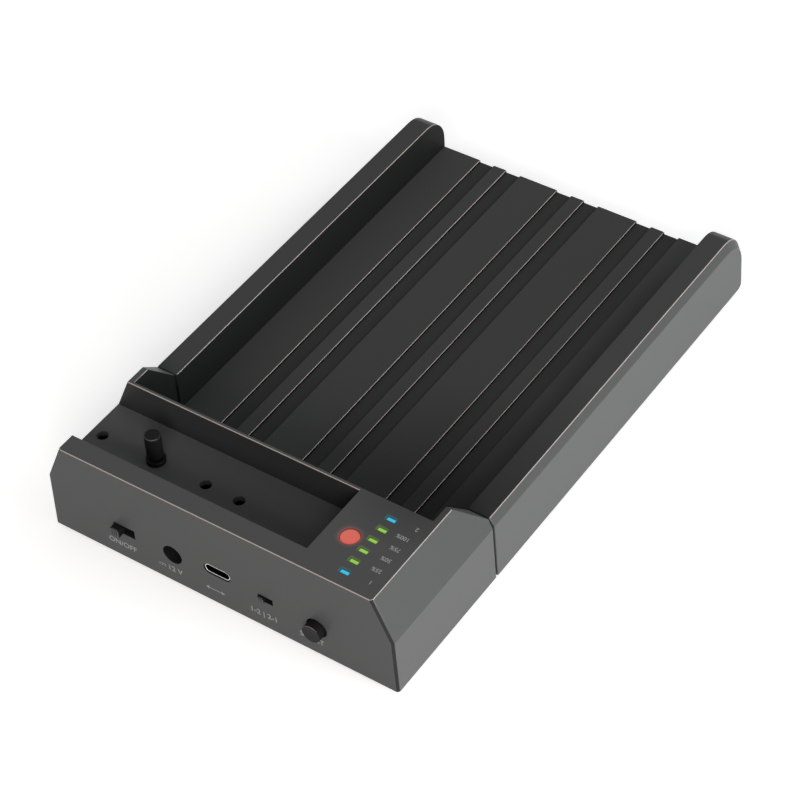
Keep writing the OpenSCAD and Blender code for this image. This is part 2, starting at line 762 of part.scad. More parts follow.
module usb_c_shell() color(steel) place() translate([usb_x, 0, usb_z])
    along_y(usb_sunk, usb_sunk + usb_l) difference() {
        stadium(usb_w, usb_h);
        stadium(usb_w - 2 * usb_skin, usb_h - 2 * usb_skin);
    }
module usb_c_tongue() color(black) place() translate([usb_x, 0, usb_z]) {
    along_y(usb_sunk + tongue_sunk, usb_sunk + usb_l) square([tongue_w, tongue_t], center = true);
    along_y(usb_sunk + usb_l - usb_block_l, usb_sunk + usb_l)
        stadium(usb_w - 2 * usb_skin - 2 * usb_fit, usb_h - 2 * usb_skin - 2 * usb_fit);
}
module usb_c_contacts() color(gold) place() translate([usb_x, 0, usb_z])
    for (i = [0:usb_pin_count - 1], side = [-1, 1])
        translate([(i - (usb_pin_count - 1) / 2) * usb_pin_pitch,
            usb_sunk + tongue_sunk + usb_pin_l / 2 + fit_gap, side * (tongue_t + usb_pin_t) / 2])
            cube([usb_pin_w, usb_pin_l, usb_pin_t], center = true);

module m2_socket() color(black) place() difference() {
    block([m2_x, m2_y - m2_w / 2, board_top], [m2_x + m2_l, m2_y + m2_w / 2, m2_top]);
    difference() {
        block([m2_x - over, m2_y - m2_slot_w / 2, m2_slot_z],
            [m2_x + m2_slot_deep, m2_y + m2_slot_w / 2, m2_slot_z + m2_slot_h]);
        block([m2_x - over, m2_y + m2_key_at - m2_key_w / 2, m2_slot_z],
            [m2_x + m2_slot_deep, m2_y + m2_key_at + m2_key_w / 2, m2_slot_z + m2_slot_h]);
    }
}
// Contact places along the slot, without those at the key
m2_pin_last = floor((m2_slot_w / 2 - m2_pin_pitch) / m2_pin_pitch);
m2_pin_ys = [for (i = [-m2_pin_last:m2_pin_last])
    if (abs(i * m2_pin_pitch - m2_key_at) > m2_key_w / 2 + m2_pin_w) i * m2_pin_pitch];
m2_pin_zs = [m2_slot_z, m2_slot_z + m2_slot_h - m2_pin_t];
module m2_contacts() color(gold) place() for (y = m2_pin_ys, z = m2_pin_zs)
    translate([m2_x + fit_gap, m2_y + y - m2_pin_w / 2, z])
        cube([m2_slot_deep - fit_gap, m2_pin_w, m2_pin_t]);

sata_front = bulkhead_y - sata_in;
sata_back = ridge_back + sata_reach;
// Slot of the SATA receptacle, with the key that closes a corner of it
module sata_slot(i) difference() {
    block([sata_slot_xs[i], sata_back - sata_slot_deep, sata_z - sata_slot_h / 2],
        [sata_slot_xs[i] + sata_slot_ws[i], sata_back + over, sata_z + sata_slot_h / 2]);
    block([sata_slot_xs[i] - over, sata_back - sata_slot_deep - over, sata_z],
        [sata_slot_xs[i] + sata_key, sata_back + 2 * over, sata_z + sata_slot_h]);
}
module sata_receptacle() color(black) place() difference() {
    block([sata_x - sata_w / 2, sata_front, sata_z - sata_under],
        [sata_x + sata_w / 2, sata_back, board_bottom]);
    for (i = [0, 1]) sata_slot(i);
}
module sata_contacts() color(gold) place() for (i = [0, 1], j = [0:sata_pin_counts[i] - 1])
    translate([sata_slot_xs[i] + sata_slot_ws[i] / 2 + sata_key / 2
            + (j - (sata_pin_counts[i] - 1) / 2) * sata_pitch - sata_pin_w / 2,
        sata_back - sata_slot_deep, sata_z - sata_slot_h / 2])
        cube([sata_pin_w, sata_slot_deep - fit_gap, sata_pin_t]);

module ssd_peg() color(black) place() translate([peg_x, peg_y, channel_h]) rotate_extrude() {
    head_z = peg_flange_t + peg_neck_h;
    translate([0, -peg_stem]) square([peg_hole_d / 2 - peg_fit, peg_stem]);
    square([peg_flange_d / 2, peg_flange_t]);
    square([peg_neck_d / 2, head_z]);
    translate([0, head_z]) square([peg_head_d / 2, peg_h - head_z - peg_round]);
    translate([0, head_z]) square([peg_head_d / 2 - peg_round, peg_h - head_z]);
    translate([peg_head_d / 2 - peg_round, peg_h - peg_round]) intersection() {
        circle(peg_round);
        square(peg_round);
    }
}

// A chip on the board's upper side
module chip_up(at, size) translate([at[0] - size[0] / 2, at[1] - size[1] / 2, board_top]) cube(size);
module bridge_chips() color(black) place() for (x = bridge_xs)
    chip_up([x, chip_y], [bridge_w, bridge_w, chip_h]);
module flash_chip() color(black) place() chip_up([flash_x, chip_y], flash_size);
module regulators() color(black) place() for (x = supply_xs) chip_up([x, regulator_y], regulator_size);
module inductors() color("#4b4c50") place() for (x = supply_xs) chip_up([x, inductor_y], inductor_size);
module bulk_capacitors() color(steel) place() for (x = [-capacitor_x, capacitor_x])
    pin_z(capacitor_d, x, capacitor_y, board_bottom - capacitor_h, board_bottom);
module crystal() color(steel) place() chip_up([crystal_x, inductor_y], crystal_size);

front_housing();
rear_tray();
base_cover();
rubber_feet();
front_screws();
tray_screws();
main_board();
board_screws();
led_board();
led_board_screws();
board_header();
header_pins();
status_leds();
power_lens();
ssd_lens();
progress_lenses();
hdd_lens();
power_switch_body();
power_switch_knob();
direction_switch_body();
direction_switch_knob();
clone_switch_body();
clone_button();
clone_plunger();
dc_jack_body();
dc_jack_pin();
dc_jack_spring();
usb_c_shell();
usb_c_tongue();
usb_c_contacts();
m2_socket();
m2_contacts();
sata_receptacle();
sata_contacts();
ssd_peg();
bridge_chips();
flash_chip();
regulators();
inductors();
bulk_capacitors();
crystal();
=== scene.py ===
"""Looks of a hard drive docking station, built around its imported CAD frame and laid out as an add-on."""

import math

import bmesh
import bpy
from bpy.props import FloatProperty, FloatVectorProperty, PointerProperty
from mathutils import Matrix, Vector
from mathutils.bvhtree import BVHTree


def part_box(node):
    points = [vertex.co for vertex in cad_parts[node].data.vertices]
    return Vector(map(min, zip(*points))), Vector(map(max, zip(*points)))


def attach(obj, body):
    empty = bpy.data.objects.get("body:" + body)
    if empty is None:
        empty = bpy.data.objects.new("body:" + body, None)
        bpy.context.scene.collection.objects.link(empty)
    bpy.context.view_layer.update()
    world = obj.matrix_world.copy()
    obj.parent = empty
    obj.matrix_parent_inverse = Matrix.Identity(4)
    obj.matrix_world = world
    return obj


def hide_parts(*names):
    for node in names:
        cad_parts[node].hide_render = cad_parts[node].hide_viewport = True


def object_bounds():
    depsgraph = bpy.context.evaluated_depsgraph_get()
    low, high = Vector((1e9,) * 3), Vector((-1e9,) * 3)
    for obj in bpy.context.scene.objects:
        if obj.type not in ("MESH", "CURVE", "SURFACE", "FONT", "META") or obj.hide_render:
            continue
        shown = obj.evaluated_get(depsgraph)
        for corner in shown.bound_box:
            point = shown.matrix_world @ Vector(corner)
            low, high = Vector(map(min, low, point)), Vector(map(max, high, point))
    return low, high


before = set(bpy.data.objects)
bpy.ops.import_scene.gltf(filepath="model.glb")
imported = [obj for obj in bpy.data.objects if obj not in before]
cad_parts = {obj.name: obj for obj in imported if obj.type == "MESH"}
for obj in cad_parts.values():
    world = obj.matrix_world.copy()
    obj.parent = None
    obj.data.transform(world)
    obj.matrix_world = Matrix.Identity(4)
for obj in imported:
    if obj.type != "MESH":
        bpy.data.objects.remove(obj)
CAD_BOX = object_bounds()

bl_info = {
    "name": "Hard drive docking station",
    "version": (1, 0, 0),
    "blender": (4, 5, 0),
    "location": "View3D > Sidebar > Dock",
    "description": "Dresses the CAD frame of a docking station for one drive and one SSD module",
    "category": "Object",
}

MM = 0.001
# Vertices closer than this are one
MERGE = 0.005 * MM
# Faces that meet at less than this are one flat face
FLAT = math.radians(0.6)
# Edges sharper than SHARP are rounded, and those duller than CREASE are shaded smooth
SHARP = math.radians(25)
CREASE = math.radians(15)
# Just under the floor of the SSD channel
CHANNEL_LOW = 24 * MM
# Halfway up the grooves of the deck
GROOVE_TOP = 10.1 * MM
# Half the width of the SSD channel with its walls, along Y
CHANNEL_HALF = 13.5 * MM
# Right of the row of windows
LENSES_END = 46 * MM
# Width of a rail or a wing, seen from above
RAIL = 7 * MM
# Runs of edges longer than this are long edges, and shorter ones are rims of small openings
LONG_RUN = 12 * MM
# Stretches without the painted edge highlight: the wings' rear ends, and the tray beside the seam
WING_END = 11 * MM
SEAM_SIDE = 1.5 * MM
# A wall's normal rises less than UPRIGHT, and a face turned along an axis has more than STEEP of it
UPRIGHT = 0.3
STEEP = 0.95
# Strength of the painted glow around the lenses, in the panel's finish and in that of the lens holes
PANEL_GLOW = 0.1
RIM_GLOW = 0.25
# Room that the top panel leaves for the ink under the top of the CAD box
INK_ROOM = 0.01 * MM
# Finishes of the two shells, in the order of their material slots: one plastic in lighter and darker
# copies, region by region, as painted light and shade
FRONT_FINISHES = ("front", "inner", "edge", "strip", "channel", "ridge", "side", "lower", "rims")
TRAY_FINISHES = ("deck", "inner", "edge", "groove", "dark", "side", "lower")
# Finishes with painted shade that darkens them towards a corner: its place in mm, the share of colour
# there, and the reach in mm
PAINTED_SHADE_CORNERS = (
    (("deck", "groove"), (52, -57, 10), 0.3, 75),
    (("front",), (45, -52, 33), 0.45, 28),
    (("channel", "ridge"), (26, -74, 24), 0.65, 65),
)
# Marks of the front face, each with its middle along X in mm, and of the top panel from front to rear
FRONT_MARKS = (("ON/OFF", -35.2), ("12 V", -16), ("1-2 | 2-1", 15.7), ("START", 32.4))
TOP_MARKS = ("1", "25%", "50%", "75%", "100%", "2")
# Places along X of the sign for direct current, of the arrow and of the starts of the top marks
CURRENT_X = -20.6 * MM
ARROW_X = -1.5 * MM
TOP_MARKS_X = 51 * MM
# Share of a font's size that a capital takes
CAPITAL = 0.72
# Depth of a knob's grooved face
KNOB_FACE = 0.5 * MM
# Bars of the sign for direct current, each with its middle and its length in mm
DIRECT_CURRENT = ((0, 0.35, 2.6), (-1, -0.35, 0.6), (0, -0.35, 0.6), (1, -0.35, 0.6))
# Soft lights: name, azimuth and elevation in degrees, distance and side in metres, level, colour
LIGHTS = (
    ("Key", 152, 26, 1.3, 0.6, 0.62, "#fffaf7"),
    ("Right", 90, 8, 1.3, 0.36, 0.72, "#f8fffc"),
    ("Back", 25, 26, 1.3, 0.6, 0.3, "#fcfdfd"),
)


def linear(colour):
    """An sRGB hex colour as linear red, green and blue."""
    parts = [int(colour[i:i + 2], 16) / 255 for i in (1, 3, 5)]
    return [c / 12.92 if c <= 0.04045 else ((c + 0.055) / 1.055) ** 2.4 for c in parts]


def middle(node):
    """Centre of a CAD node's box."""
    low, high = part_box(node)
    return (low + high) / 2


# Settings

class ShellSettings(bpy.types.PropertyGroup):
    """Edges and colours of the moulded pieces."""

    edge_round: FloatProperty(
        name="Edge rounding", description="Rounding of the shells' long edges",
        default=0.22 * MM, unit="LENGTH")
    hole_round: FloatProperty(
        name="Hole rounding", description="Rounding of the rims of small openings",
        default=0.18 * MM, unit="LENGTH")
    small_round: FloatProperty(
        name="Small rounding", description="Rounding of knobs, connectors and screws",
        default=0.1 * MM, unit="LENGTH")
    front_colour: FloatVectorProperty(
        name="Front housing", description="Colour of the front housing",
        default=linear("#4b4c4c"), subtype="COLOR")
    # The sides are painted darker above the crease, and lighter below it and on the ramps: painted shade
    # and painted light
    side_colour: FloatVectorProperty(
        name="Upper sides", description="Colour of the sloped sides above the crease",
        default=linear("#3f4040"), subtype="COLOR")
    lower_colour: FloatVectorProperty(
        name="Lower sides", description="Colour of the sides below the crease and of the ramps",
        default=linear("#4e4f4f"), subtype="COLOR")
    # The channel's floor is painted lighter and its walls darker: painted light and painted shade
    channel_colour: FloatVectorProperty(
        name="Module channel", description="Colour of the floor of the SSD channel",
        default=linear("#5a5b5b"), subtype="COLOR")
    ridge_colour: FloatVectorProperty(
        name="Channel walls", description="Colour of the walls of the SSD channel",
        default=linear("#303131"), subtype="COLOR")
    tray_colour: FloatVectorProperty(
        name="Drive tray", description="Colour of the deck and of the rails' tops",
        default=linear("#414242"), subtype="COLOR")
    # The grooves, the walls inside the bay, the groove walls and the corner strips are painted dark:
    # painted shade
    groove_colour: FloatVectorProperty(
        name="Grooves", description="Colour of the grooves of the deck",
        default=linear("#333434"), subtype="COLOR")
    inner_colour: FloatVectorProperty(
        name="Inner walls", description="Colour of the walls inside the bay",
        default=linear("#1a1b1b"), subtype="COLOR")
    dark_colour: FloatVectorProperty(
        name="Groove walls", description="Colour of the low walls of the grooves",
        default=linear("#050505"), subtype="COLOR")
    strip_colour: FloatVectorProperty(
        name="Corner strips", description="Colour of the bevelled front corners",
        default=linear("#2a2b2b"), subtype="COLOR")
    # The pale edges are a painted highlight on the roundings that face up and right or front
    edge_highlight_colour: FloatVectorProperty(
        name="Pale edges", description="Colour of the roundings that are pale in the photo",
        default=linear("#a89c97"), subtype="COLOR")
    streak_width: FloatProperty(
        name="Streak width", description="Width of the fine lines along the front housing",
        default=0.3 * MM, unit="LENGTH")
    streak_length: FloatProperty(
        name="Streak length", description="Length of the fine lines along the front housing",
        default=40 * MM, unit="LENGTH")


class LampSettings(bpy.types.PropertyGroup):
    """Colours of the indicator lenses, and the glow painted around them."""

    red: FloatVectorProperty(
        name="Power lens", description="Colour of the lit round lens",
        default=linear("#d9675a"), subtype="COLOR")
    green: FloatVectorProperty(
        name="Progress windows", description="Colour of the lit progress windows",
        default=linear("#97cb58"), subtype="COLOR")
    blue: FloatVectorProperty(
        name="Drive windows", description="Colour of the lit drive windows",
        default=linear("#45b6d2"), subtype="COLOR")
    # The glows around the round lens and the windows are painted into the panel's finish
    round_reach: FloatProperty(
        name="Round glow", description="How far the round lens lights the panel around it",
        default=2.3 * MM, unit="LENGTH")
    window_reach: FloatProperty(
        name="Window glow", description="How far a window lights the panel around it",
        default=0.8 * MM, unit="LENGTH")


class MarkSettings(bpy.types.PropertyGroup):
    """Printed marks."""

    ink: FloatVectorProperty(
        name="Ink", description="Colour of the printed marks",
        default=linear("#8f9291"), subtype="COLOR")
    front_height: FloatProperty(
        name="Front marks", description="Height of a capital on the front face",
        default=2.05 * MM, unit="LENGTH")
    top_height: FloatProperty(
        name="Top marks", description="Height of a capital on the top panel",
        default=1.4 * MM, unit="LENGTH")
    thickness: FloatProperty(
        name="Ink thickness", description="How far the ink stands on the plastic",
        default=0.02 * MM, unit="LENGTH")
    row_height: FloatProperty(
        name="Front row", description="Height of the row of marks on the front face above the floor",
        default=6.6 * MM, unit="LENGTH")


class StageSettings(bpy.types.PropertyGroup):
    """Camera, floor and light."""

    target: FloatVectorProperty(
        name="Target", description="Point that the camera looks at",
        default=(6.2 * MM, -13.1 * MM, 16.2 * MM), subtype="XYZ", unit="LENGTH")
    distance: FloatProperty(
        name="Distance", description="Distance of the camera from its target",
        default=782.8 * MM, unit="LENGTH")
    azimuth: FloatProperty(
        name="Azimuth", description="Turn of the camera round the part",
        default=math.radians(36.776), subtype="ANGLE")
    elevation: FloatProperty(
        name="Elevation", description="Rise of the camera above the floor",
        default=math.radians(44.734), subtype="ANGLE")
    roll: FloatProperty(
        name="Roll", description="Turn of the camera about its own line of sight",
        default=math.radians(-3.815), subtype="ANGLE")
    lens: FloatProperty(
        name="Lens", description="Focal length of the camera in millimetres, on a 36 mm sensor",
        default=117.7)
    floor_colour: FloatVectorProperty(
        name="Floor", description="Colour of the plain pale floor",
        default=linear("#e6e6e6"), subtype="COLOR")
    floor_size: FloatProperty(
        name="Floor size", description="Width of the floor", default=12.0, unit="LENGTH")
    floor_lift: FloatProperty(
        name="Floor lift", description="Share of white that the floor adds for the eye", default=0.5)
    mirror_lift: FloatProperty(
        name="Mirrored floor lift", description="Share of white that the floor adds in reflections",
        default=0.2)
    world_level: FloatProperty(
        name="Room level", description="Strength of the even light of the room", default=0.36)


# Materials

def add_node(tree, kind, links=None, **settings):
    """Adds a node with its settings; links gives each named input a socket or a value."""
    made = tree.nodes.new(kind)
    for key, value in settings.items():
        setattr(made, key, value)
    for key, value in (links or {}).items():
        if isinstance(value, bpy.types.NodeSocket):
            tree.links.new(value, made.inputs[key])
        else:
            made.inputs[key].default_value = value
    return made


def new_material(name, **sockets):
    """A material, its tree, its shader with the given sockets set, and its Object coordinates."""
    made = bpy.data.materials.new(name)
    made.use_nodes = True
    tree = made.node_tree
    shader = tree.nodes["Principled BSDF"]
    for key, value in sockets.items():
        shader.inputs[key.replace("_", " ").title().replace("Ior", "IOR")].default_value = value
    return made, tree, shader, add_node(tree, "ShaderNodeTexCoord").outputs["Object"]


def speckle(tree, shader, noise, colour, spread, roughness, bump):
    """Lets a noise vary the shader's colour by a share, its roughness in a range and its height."""
    ramp = add_node(tree, "ShaderNodeValToRGB", {"Fac": noise})
    for element, share in zip(ramp.color_ramp.elements, (1 - spread, 1 + spread)):
        element.color = [*(min(1, c * share) for c in colour), 1]
    gloss = add_node(tree, "ShaderNodeMapRange", {
        "Value": noise, "To Min": roughness[0], "To Max": roughness[1]})
    relief = add_node(tree, "ShaderNodeBump", {"Height": noise, "Strength": 1.0, "Distance": bump})
    tree.links.new(ramp.outputs["Color"], shader.inputs["Base Color"])
    tree.links.new(gloss.outputs["Result"], shader.inputs["Roughness"])
    tree.links.new(relief.outputs["Normal"], shader.inputs["Normal"])


def drawn_abs(name, colour, width, length, shine):
    """Black ABS from a tool with fine draw lines: a satin sheen that breaks up along the lines."""
    made, tree, shader, place = new_material(name, ior=1.5, specular_ior_level=shine)
    lines = add_node(tree, "ShaderNodeMapping", {
        "Vector": place, "Scale": (1 / length, 1 / width, 1 / width)})
    noise = add_node(tree, "ShaderNodeTexNoise", {
        "Vector": lines.outputs["Vector"], "Scale": 1.0, "Detail": 3.0, "Roughness": 0.6})
    speckle(tree, shader, noise.outputs["Fac"], colour, 0.07, (0.36, 0.46), 0.003 * MM)
    return made, tree, shader, place


def grained_abs(name, colour, grain=0.35 * MM, roughness=(0.5, 0.6), shine=0.1):
    """ABS from a spark-eroded tool: an even fine grain that softens what it mirrors."""
    made, tree, shader, place = new_material(name, ior=1.5, specular_ior_level=shine)
    noise = add_node(tree, "ShaderNodeTexNoise", {
        "Vector": place, "Scale": 1 / grain, "Detail": 2.0, "Roughness": 0.5})
    speckle(tree, shader, noise.outputs["Fac"], colour, 0.08, roughness, 0.003 * MM)
    return made


def paint_corner_shade(made, corner, share, far):
    """Paints shade into a finish towards a corner, to a share of its colour there, from a distance of far
    on.
    """
    tree = made.node_tree
    shader = tree.nodes["Principled BSDF"]
    place = add_node(tree, "ShaderNodeTexCoord").outputs["Object"]
    away = add_node(tree, "ShaderNodeVectorMath", {0: place, 1: corner}, operation="DISTANCE")
    kept = add_node(tree, "ShaderNodeMapRange", {
        "Value": away.outputs["Value"], "From Max": far, "To Min": share, "To Max": 1.0})
    colour = shader.inputs["Base Color"].links[0].from_socket
    shaded = add_node(tree, "ShaderNodeVectorMath", {
        0: colour, "Scale": kept.outputs["Result"]}, operation="SCALE")
    tree.links.new(shaded.outputs[0], shader.inputs["Base Color"])


def moulded_rubber(name, colour):
    """Moulded rubber: nearly black, with a dry surface that hardly shines."""
    made, tree, shader, place = new_material(name, ior=1.5, specular_ior_level=0.2)
    noise = add_node(tree, "ShaderNodeTexNoise", {
        "Vector": place, "Scale": 1 / (0.5 * MM), "Detail": 4.0})
    speckle(tree, shader, noise.outputs["Fac"], colour, 0.3, (0.45, 0.62), 0.006 * MM)
    return made


def plated_metal(name, colour, roughness, grain=0.2 * MM):
    """Plated metal: a bright mirror broken by the faint marks of rolling and plating."""
    made, tree, shader, place = new_material(name, metallic=1.0)
    noise = add_node(tree, "ShaderNodeTexNoise", {
        "Vector": place, "Scale": 1 / grain, "Detail": 3.0})
    speckle(tree, shader, noise.outputs["Fac"], colour, 0.08, roughness, 0.001 * MM)
    return made


def solder_mask(name, colour):
    """Glass laminate under green solder mask: glossy, with copper tracks that show as paler lines."""
    made, tree, shader, place = new_material(name, ior=1.5)
    tracks = add_node(tree, "ShaderNodeTexBrick", {
        "Vector": place, "Scale": 1.0, "Mortar Size": 0.15 * MM, "Brick Width": 7 * MM,
        "Row Height": 0.9 * MM,
        "Color1": (*colour, 1), "Color2": (*(c * 0.85 for c in colour), 1),
        "Mortar": (*(min(1, c * 1.8) for c in colour), 1)})
    tree.links.new(tracks.outputs["Color"], shader.inputs["Base Color"])
    shader.inputs["Roughness"].default_value = 0.25
    return made


def lit_acrylic(name, colour, lit=0.55):
    """Tinted acrylic over a lit LED: it glows evenly, a little cloudy, under a polished face."""
    made, tree, shader, place = new_material(name, ior=1.49, roughness=0.22, emission_strength=lit)
    noise = add_node(tree, "ShaderNodeTexNoise", {"Vector": place, "Scale": 1 / (1.2 * MM), "Detail": 2.0})
    ramp = add_node(tree, "ShaderNodeValToRGB", {"Fac": noise.outputs["Fac"]})
    for element, share in zip(ramp.color_ramp.elements, (0.92, 1.06)):
        element.color = [*(min(1, c * share) for c in colour), 1]
    tree.links.new(ramp.outputs["Color"], shader.inputs["Emission Color"])
    shader.inputs["Base Color"].default_value = (*(c * 0.5 for c in colour), 1)
    return made


def screen_ink(name, colour):
    """Screen-printed ink: flat and matt, thin enough to be a little uneven."""
    made, tree, shader, place = new_material(name, ior=1.45)
    noise = add_node(tree, "ShaderNodeTexNoise", {"Vector": place, "Scale": 1 / (0.25 * MM), "Detail": 2.0})
    speckle(tree, shader, noise.outputs["Fac"], colour, 0.12, (0.5, 0.65), 0.001 * MM)
    return made


def paint_lens_glow(tree, shader, place, lamps, strength):
    """Paints a little glow into a finish around the lit lenses, in their colours."""
    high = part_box("power_lens")[1]
    centre = middle("power_lens")
    rim = high.x - centre.x - 0.6 * MM
    radial = add_node(tree, "ShaderNodeVectorMath", {
        0: place, 1: (-centre.x, -centre.y, 0)}, operation="ADD")
    flat = add_node(tree, "ShaderNodeVectorMath", {
        0: radial.outputs[0], 1: (1, 1, 0)}, operation="MULTIPLY")
    far = add_node(tree, "ShaderNodeVectorMath", {0: flat.outputs[0]}, operation="LENGTH")
    fade = add_node(tree, "ShaderNodeMapRange", {
        "Value": far.outputs["Value"], "From Min": rim, "From Max": rim + lamps.round_reach,
        "To Min": 1.0, "To Max": 0.0}, interpolation_type="SMOOTHERSTEP")
    height = add_node(tree, "ShaderNodeSeparateXYZ", {"Vector": place})
    above = add_node(tree, "ShaderNodeMath", {
        0: height.outputs["Z"], 1: high.z - 0.6 * MM}, operation="GREATER_THAN")
    share = add_node(tree, "ShaderNodeMath", {
        0: fade.outputs["Result"], 1: above.outputs[0]}, operation="MULTIPLY")
    squared = add_node(tree, "ShaderNodeMath", {0: share.outputs[0], 1: 2.0}, operation="POWER")
    tint = add_node(tree, "ShaderNodeVectorMath", {
        0: tuple(lamps.red), "Scale": squared.outputs[0]}, operation="SCALE")
    first = middle("ssd_lens")
    last = middle("hdd_lens")
    along = add_node(tree, "ShaderNodeMapRange", {
        "Value": height.outputs["Y"], "From Min": first.y, "From Max": last.y,
        "To Min": 0.1, "To Max": 1.1})
    near = add_node(tree, "ShaderNodeMath", {0: along.outputs["Result"], 1: 0.2}, operation="SNAP")
    row = add_node(tree, "ShaderNodeMapRange", {
        "Value": near.outputs[0], "To Min": first.y, "To Max": last.y})
    window = add_node(tree, "ShaderNodeCombineXYZ", {"X": first.x, "Y": row.outputs["Result"]})
    away = add_node(tree, "ShaderNodeVectorMath", {0: place, 1: window.outputs[0]}, operation="SUBTRACT")
    aside = add_node(tree, "ShaderNodeVectorMath", {0: away.outputs[0]}, operation="ABSOLUTE")
    past = add_node(tree, "ShaderNodeVectorMath", {
        0: aside.outputs[0], 1: (1.35 * MM, 0.6 * MM, 1)}, operation="SUBTRACT")
    outside = add_node(tree, "ShaderNodeVectorMath", {
        0: past.outputs[0], 1: (0, 0, 0)}, operation="MAXIMUM")
    gap = add_node(tree, "ShaderNodeVectorMath", {0: outside.outputs[0]}, operation="LENGTH")
    dim = add_node(tree, "ShaderNodeMapRange", {
        "Value": gap.outputs["Value"], "From Max": lamps.window_reach,
        "To Min": 1.0, "To Max": 0.0}, interpolation_type="SMOOTHERSTEP")
    lit = add_node(tree, "ShaderNodeMath", {
        0: dim.outputs["Result"], 1: above.outputs[0]}, operation="MULTIPLY")
    colours = add_node(tree, "ShaderNodeValToRGB", {"Fac": near.outputs[0]})
    colours.color_ramp.interpolation = "CONSTANT"
    colours.color_ramp.elements.new(0.9)
    for element, place_on, colour in zip(
            colours.color_ramp.elements, (0, 0.1, 0.9), (lamps.blue, lamps.green, lamps.blue)):
        element.position = place_on
        element.color = (*colour, 1)
    wash = add_node(tree, "ShaderNodeVectorMath", {
        0: colours.outputs["Color"], "Scale": lit.outputs[0]}, operation="SCALE")
    total = add_node(tree, "ShaderNodeVectorMath", {
        0: tint.outputs[0], 1: wash.outputs[0]}, operation="ADD")
    tree.links.new(total.outputs[0], shader.inputs["Emission Color"])
    shader.inputs["Emission Strength"].default_value = strength


# Mesh helpers

def merged_copy(node):
    """A CAD node's shape with its loose triangles joined into flat faces."""
    bm = bmesh.new()
    bm.from_mesh(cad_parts[node].data)
    bmesh.ops.remove_doubles(bm, verts=bm.verts, dist=MERGE)
    bmesh.ops.dissolve_limit(bm, angle_limit=FLAT, verts=bm.verts, edges=bm.edges)
    return bm


def outer_edges(bm):
    """Sharp outward edges, each with the direction that it faces."""
    found = []
    for edge in bm.edges:
        if edge.is_manifold and edge.calc_face_angle_signed(0) > SHARP:
            facing = edge.link_faces[0].normal + edge.link_faces[1].normal
            found.append((edge, facing.normalized()))
    return found


def exposed_edges(bm):
    """Sharp outward edges that can be seen from outside, those of inner ribs and bosses left out."""
    tree = BVHTree.FromBMesh(bm)
    found = []
    for edge, facing in outer_edges(bm):
        level = Vector((facing.x, facing.y, max(facing.z, 0)))
        start = (edge.verts[0].co + edge.verts[1].co) / 2 + facing * 0.02 * MM
        if level.length > 0.1 and tree.ray_cast(start, level.normalized())[0] is None:
            found.append(edge)
    return found


def runs(edges):
    """The edges in groups that hang together."""
    left = set(edges)
    groups = []
    while left:
        group = [left.pop()]
        for edge in group:
            near = [e for v in edge.verts for e in v.link_edges if e in left]
            left.difference_update(near)
            group.extend(near)
        groups.append(group)
    return groups


def reach(edges):
    """Longest side of the box around some edges."""
    points = [v.co for e in edges for v in e.verts]
    return max(max(p[i] for p in points) - min(p[i] for p in points) for i in range(3))


def round_edges(bm, edges, width, steps=2):
    """Rounds edges by a width, in steps, and gives the new faces."""
    made = bmesh.ops.bevel(
        bm, geom=edges, offset=width, offset_type="OFFSET", segments=steps, profile=0.5,
        affect="EDGES", material=-1, clamp_overlap=False, loop_slide=False)
    return made["faces"]


def mark_creases(bm, rounded=()):
    """Shades flat faces flat: smoothing ends at creases and where a rounding starts."""
    soft = set(rounded)
    for edge in bm.edges:
        count = sum(face in soft for face in edge.link_faces)
        if count == 1 or count == 0 and edge.calc_face_angle(0) > CREASE:
            edge.smooth = False


def paint_edge_highlight(rounded, index):
    """Paints a highlight: gives the pale finish to roundings that face up and right or up and front, as in
    the photo.
    """
    for face in rounded:
        x, y, z = face.normal
        corner = x > 0.3 and y < -0.15 and z < 0.7
        if z > 0.25 and (0.25 < x < 0.9 or y < -0.25) and not corner:
            face.material_index = index


def rounded_copy(node, width, steps=2, only=None, highlight_slot=0):
    """A CAD node's shape with its outward edges rounded, or those that only picks by their direction."""
    bm = merged_copy(node)
    edges = [edge for edge, facing in outer_edges(bm) if only is None or only(edge, facing)]
    rounded = round_edges(bm, edges, width, steps)
    mark_creases(bm, rounded)
    # Painted highlight: the roundings that face up and right or front take the slot highlight_slot, by
    # default the piece's own finish
    paint_edge_highlight(rounded, highlight_slot)
    return bm


def make_piece(name, bm, body, materials, replaced=()):
    """An object from a bmesh that rides on a body of the frame, shaded evenly across its flat faces."""
    for face in bm.faces:
        face.smooth = True
    mesh = bpy.data.meshes.new(name)
    bm.to_mesh(mesh)
    bm.free()
    for material in materials:
        mesh.materials.append(material)
    made = bpy.data.objects.new(name, mesh)
    bpy.context.scene.collection.objects.link(made)
    made.modifiers.new("Even normals", "WEIGHTED_NORMAL").keep_sharp = True
    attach(made, body)
    if replaced:
        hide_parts(*replaced)
    return made


def finish_node(node, material):
    """Gives a CAD node that stays in view its material."""
    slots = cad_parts[node].data.materials
    slots.clear()
    slots.append(material)


# Pieces

